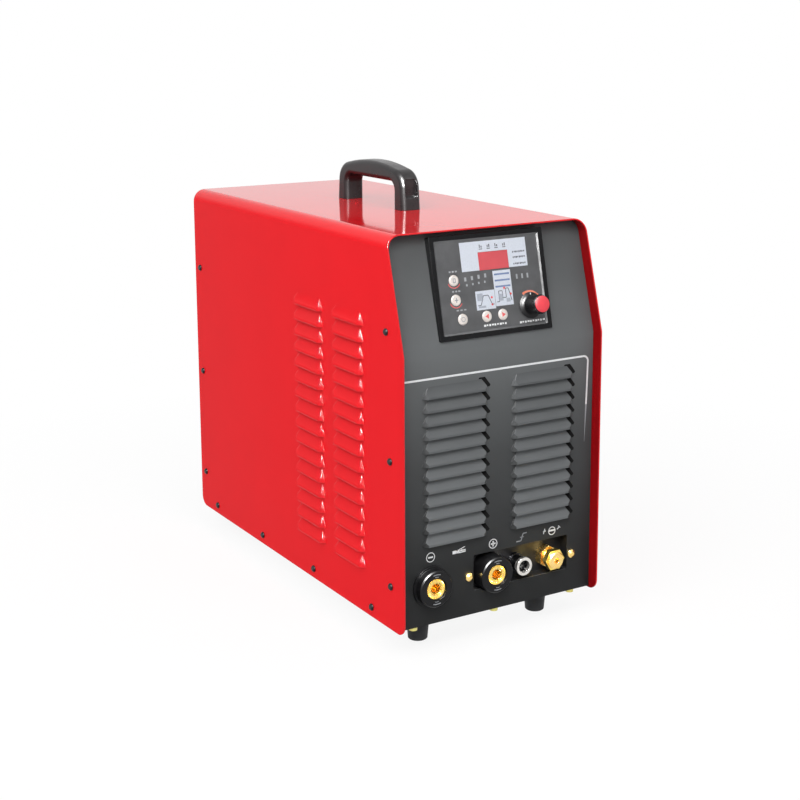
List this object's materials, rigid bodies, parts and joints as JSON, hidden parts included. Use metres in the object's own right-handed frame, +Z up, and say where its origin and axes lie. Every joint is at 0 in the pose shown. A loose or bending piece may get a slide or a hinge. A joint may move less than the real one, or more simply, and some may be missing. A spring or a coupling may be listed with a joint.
{
  "type": "tig welding machine",
  "caption": "Inverter welding machine in a red sheet-steel case with louvred sides and front, top handle, control unit, cable sockets and gas outlet.",
  "frame": {"origin": "on the ground under the middle of the overall box", "axes": "+Z up, front with the sockets towards -Y, +X to the right seen from the front"},
  "size_m": [0.25, 0.5228, 0.474],
  "materials": {
    "bezel_plastic": "moulded",
    "black_screw": "black oxide",
    "brass": "machined",
    "button_white": "moulded",
    "capacitor_sleeve": "sleeve",
    "chrome_wire": "bright",
    "circuit_board": "solder mask",
    "copper": "bare copper",
    "fan_black": "moulded",
    "fascia_film": "printed film",
    "ferrite": "ferrite",
    "foot_rubber": "matt",
    "grey_paint": "satin",
    "handle_plastic": "grained",
    "heat_sink": "extruded",
    "hose": "hose",
    "knob_black": "moulded",
    "knob_red": "moulded",
    "lever_black": "moulded",
    "nickel": "nickel plated",
    "plain_steel": "zinc plated",
    "red_lens": "tinted",
    "red_paint": "gloss",
    "socket_plastic": "semi-gloss",
    "switch_plastic": "moulded",
    "yellow_zinc": "yellow zinc"
  },
  "bodies": {
    "root": {"cover": "red_paint", "cover_screws": "black_screw", "front_panel": "grey_paint", "rear_panel": "grey_paint", "base_plate": "plain_steel", "edge_screws": "yellow_zinc", "front_feet": "foot_rubber", "rear_feet": "foot_rubber", "foot_screws": "plain_steel", "handle": "handle_plastic", "handle_screws": "plain_steel", "minus_socket": "socket_plastic", "minus_socket_insert": "brass", "minus_busbar": "copper", "plus_socket": "socket_plastic", "plus_socket_insert": "brass", "plus_busbar": "copper", "front_nuts": "brass", "terminal_tray": "socket_plastic", "tray_screws": "brass", "control_plug_shell": "nickel", "control_plug_core": "socket_plastic", "gas_outlet": "brass", "control_bezel": "bezel_plastic", "fascia": "fascia_film", "display_lens": "red_lens", "display_module": "bezel_plastic", "control_board": "circuit_board", "encoder": "nickel", "fan_frame": "fan_black", "fan_guard": "chrome_wire", "fan_screws": "black_screw", "power_switch": "switch_plastic", "cable_gland": "socket_plastic", "rear_nuts": "brass", "gas_inlet": "brass", "solenoid_valve": "brass", "valve_coil": "bezel_plastic", "gas_hose": "hose", "ground_bolt": "yellow_zinc", "shelf": "plain_steel", "heat_sink_right": "heat_sink", "heat_sink_left": "heat_sink", "power_modules": "bezel_plastic", "main_board": "circuit_board", "capacitors": "capacitor_sleeve", "transformer_core": "ferrite", "transformer_winding": "copper", "output_choke": "copper", "starter_coil": "copper"},
    "knob": {"encoder_shaft": "nickel", "knob": "knob_black", "knob_cap": "knob_red"},
    "fan_rotor": {"fan_rotor": "fan_black"},
    "switch_lever": {"switch_lever": "lever_black"},
    "button_upper": {"button_upper": "button_white"},
    "button_middle": {"button_middle": "button_white"},
    "button_lower": {"button_lower": "button_white"},
    "button_left": {"button_left": "button_white"},
    "button_right": {"button_right": "button_white"}
  },
  "joints": [
    {"name": "knob_turn", "type": "hinge", "parent": "root", "child": "knob", "pos_m": [0.0422, -0.238, 0.3426], "axis": [0, -0.9763, 0.2164], "continuous": true},
    {"name": "fan_spin", "type": "hinge", "parent": "root", "child": "fan_rotor", "pos_m": [0, 0.20868, 0.2625], "axis": [0, 1, 0], "continuous": true},
    {"name": "lever_throw", "type": "hinge", "parent": "root", "child": "switch_lever", "pos_m": [0.062, 0.22838, 0.1505], "axis": [1, 0, 0], "range_deg": [-50, 0]},
    {"name": "button_upper_press", "type": "slide", "parent": "root", "child": "button_upper", "axis": [0, 0.9763, -0.2164], "range_m": [0, 0.0006], "stiffness_N_per_m": 500, "springref_m": -0.0004},
    {"name": "button_middle_press", "type": "slide", "parent": "root", "child": "button_middle", "axis": [0, 0.9763, -0.2164], "range_m": [0, 0.0006], "stiffness_N_per_m": 500, "springref_m": -0.0004},
    {"name": "button_lower_press", "type": "slide", "parent": "root", "child": "button_lower", "axis": [0, 0.9763, -0.2164], "range_m": [0, 0.0006], "stiffness_N_per_m": 500, "springref_m": -0.0004},
    {"name": "button_left_press", "type": "slide", "parent": "root", "child": "button_left", "axis": [0, 0.9763, -0.2164], "range_m": [0, 0.0006], "stiffness_N_per_m": 500, "springref_m": -0.0004},
    {"name": "button_right_press", "type": "slide", "parent": "root", "child": "button_right", "axis": [0, 0.9763, -0.2164], "range_m": [0, 0.0006], "stiffness_N_per_m": 500, "springref_m": -0.0004}
  ]
}
